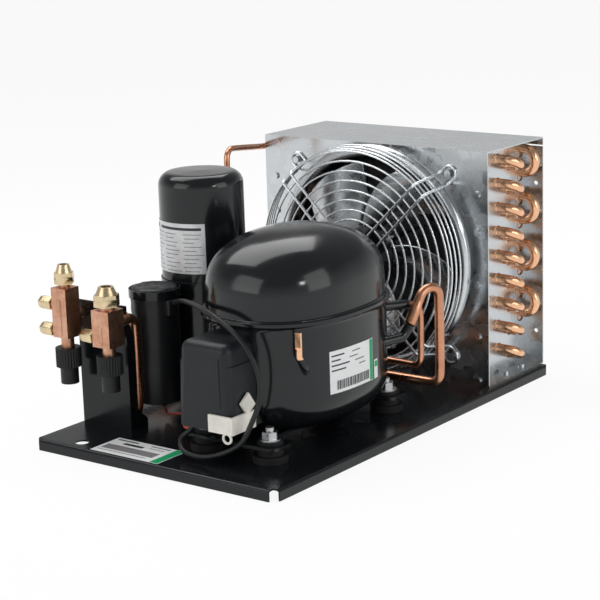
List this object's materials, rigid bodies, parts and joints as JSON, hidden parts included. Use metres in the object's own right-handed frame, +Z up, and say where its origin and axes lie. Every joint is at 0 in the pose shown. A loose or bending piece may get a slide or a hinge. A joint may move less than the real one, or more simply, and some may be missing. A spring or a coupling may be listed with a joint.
{
  "type": "condensing unit",
  "caption": "Air-cooled refrigeration condensing unit: hermetic compressor, receiver, service valves and finned coil with a guarded fan on a pressed tray.",
  "frame": {"origin": "centre of the bounding box at floor level, under the tray", "axes": "+X to the right and +Y towards the coil, seen from the valve end; +Z up"},
  "size_m": [0.3156, 0.472, 0.2522],
  "materials": {
    "black_paint": "gloss",
    "galvanised": "bright zinc coating",
    "copper": "drawn tube, slightly browned",
    "valve_bronze": "machined",
    "nut_brass": "machined",
    "black_plastic": "moulded",
    "grey_plastic": "fine grain",
    "white_plastic": "moulded",
    "label": "printed film",
    "black_rubber": "moulded",
    "red_wire": "extruded",
    "bare_steel": "machined",
    "iron": "cast",
    "fin_aluminium": "mill finish",
    "winding_copper": "enamelled wire",
    "can_plastic": "moulded"
  },
  "bodies": {
    "frame": {"base_tray": "black_paint", "base_label": "label", "valve_bracket": "black_paint", "liquid_valve_body": "valve_bronze", "suction_valve_body": "valve_bronze", "suction_line": "copper", "liquid_line": "copper", "discharge_line": "copper", "condenser_outlet_line": "copper", "receiver_shell": "black_paint", "receiver_foot": "black_paint", "receiver_label": "label", "compressor_lower_shell": "black_paint", "compressor_upper_shell": "black_paint", "compressor_feet": "black_paint", "rubber_grommets": "black_rubber", "grommet_fasteners": "galvanised", "compressor_label": "label", "shell_stubs": "black_paint", "process_tube": "copper", "hermetic_terminal": "bare_steel", "start_relay": "black_plastic", "overload_protector": "grey_plastic", "terminal_cover": "grey_plastic", "cord_clamp": "white_plastic", "clamp_screw": "nut_brass", "capacitor_can": "can_plastic", "capacitor_boot": "black_rubber", "capacitor_wire": "red_wire", "capacitor_strap": "galvanised", "capacitor_lead": "black_rubber", "stator_stack": "iron", "stator_windings": "winding_copper", "cylinder_block": "iron", "cylinder_head": "iron", "piston": "bare_steel", "suspension_springs": "bare_steel", "fan_shroud": "galvanised", "tube_sheet_right": "galvanised", "tube_sheet_left": "galvanised", "fin_pack": "fin_aluminium", "coil_tubes": "copper", "return_bends": "copper", "panel_screws": "galvanised", "fan_guard": "galvanised", "fan_motor": "black_paint"},
    "fan": {"fan_blades": "galvanised", "fan_shaft": "bare_steel"},
    "crank": {"rotor": "bare_steel", "crankshaft": "bare_steel"},
    "rod": {"connecting_rod": "bare_steel"},
    "liquid_stem": {"liquid_valve_stem": "bare_steel"},
    "suction_stem": {"suction_valve_stem": "bare_steel"},
    "liquid_cap": {"liquid_stem_cap": "black_plastic"},
    "suction_cap": {"suction_stem_cap": "black_plastic"},
    "liquid_nut": {"liquid_flare_nut": "nut_brass"},
    "suction_nut": {"suction_flare_nut": "nut_brass"},
    "liquid_upper_cap": {"liquid_upper_port_cap": "nut_brass"},
    "liquid_lower_cap": {"liquid_lower_port_cap": "nut_brass"},
    "suction_side_cap": {"suction_port_cap": "nut_brass"}
  },
  "joints": [
    {"name": "fan_spin", "type": "hinge", "parent": "frame", "child": "fan", "pos_m": [0.0138, 0.1264, 0.1328], "axis": [0, 1, 0], "continuous": true},
    {"name": "crank_spin", "type": "hinge", "parent": "frame", "child": "crank", "pos_m": [0.0648, -0.075, 0.11], "axis": [0, 0, 1], "continuous": true},
    {"name": "rod_swing", "type": "hinge", "parent": "crank", "child": "rod", "pos_m": [0.0648, -0.067, 0.1475], "axis": [0, 0, 1], "continuous": true},
    {"name": "liquid_stem_turn", "type": "hinge", "parent": "frame", "child": "liquid_stem", "pos_m": [-0.1242, -0.188, 0.09], "axis": [0, 0, 1], "range_deg": [0, 1440]},
    {"name": "suction_stem_turn", "type": "hinge", "parent": "frame", "child": "suction_stem", "pos_m": [-0.071, -0.188, 0.09], "axis": [0, 0, 1], "range_deg": [0, 1440]},
    {"name": "liquid_cap_unscrew", "type": "hinge", "parent": "frame", "child": "liquid_cap", "pos_m": [-0.1242, -0.188, 0.08], "axis": [0, 0, 1], "range_deg": [0, 1080]},
    {"name": "suction_cap_unscrew", "type": "hinge", "parent": "frame", "child": "suction_cap", "pos_m": [-0.071, -0.188, 0.08], "axis": [0, 0, 1], "range_deg": [0, 1080]},
    {"name": "liquid_nut_unscrew", "type": "hinge", "parent": "frame", "child": "liquid_nut", "pos_m": [-0.1242, -0.188, 0.155], "axis": [0, 0, 1], "range_deg": [0, 1080]},
    {"name": "suction_nut_unscrew", "type": "hinge", "parent": "frame", "child": "suction_nut", "pos_m": [-0.071, -0.188, 0.14], "axis": [0, 0, 1], "range_deg": [0, 1080]},
    {"name": "liquid_upper_cap_unscrew", "type": "hinge", "parent": "frame", "child": "liquid_upper_cap", "pos_m": [-0.1412, -0.188, 0.1303], "axis": [-1, 0, 0], "range_deg": [0, 1080]},
    {"name": "liquid_lower_cap_unscrew", "type": "hinge", "parent": "frame", "child": "liquid_lower_cap", "pos_m": [-0.1412, -0.188, 0.1047], "axis": [-1, 0, 0], "range_deg": [0, 1080]},
    {"name": "suction_side_cap_unscrew", "type": "hinge", "parent": "frame", "child": "suction_side_cap", "pos_m": [-0.0912, -0.188, 0.104], "axis": [-1, 0, 0], "range_deg": [0, 1080]}
  ],
  "couplings": [
    {"joint": "rod_swing", "follows": "crank_spin", "ratio": -1}
  ]
}
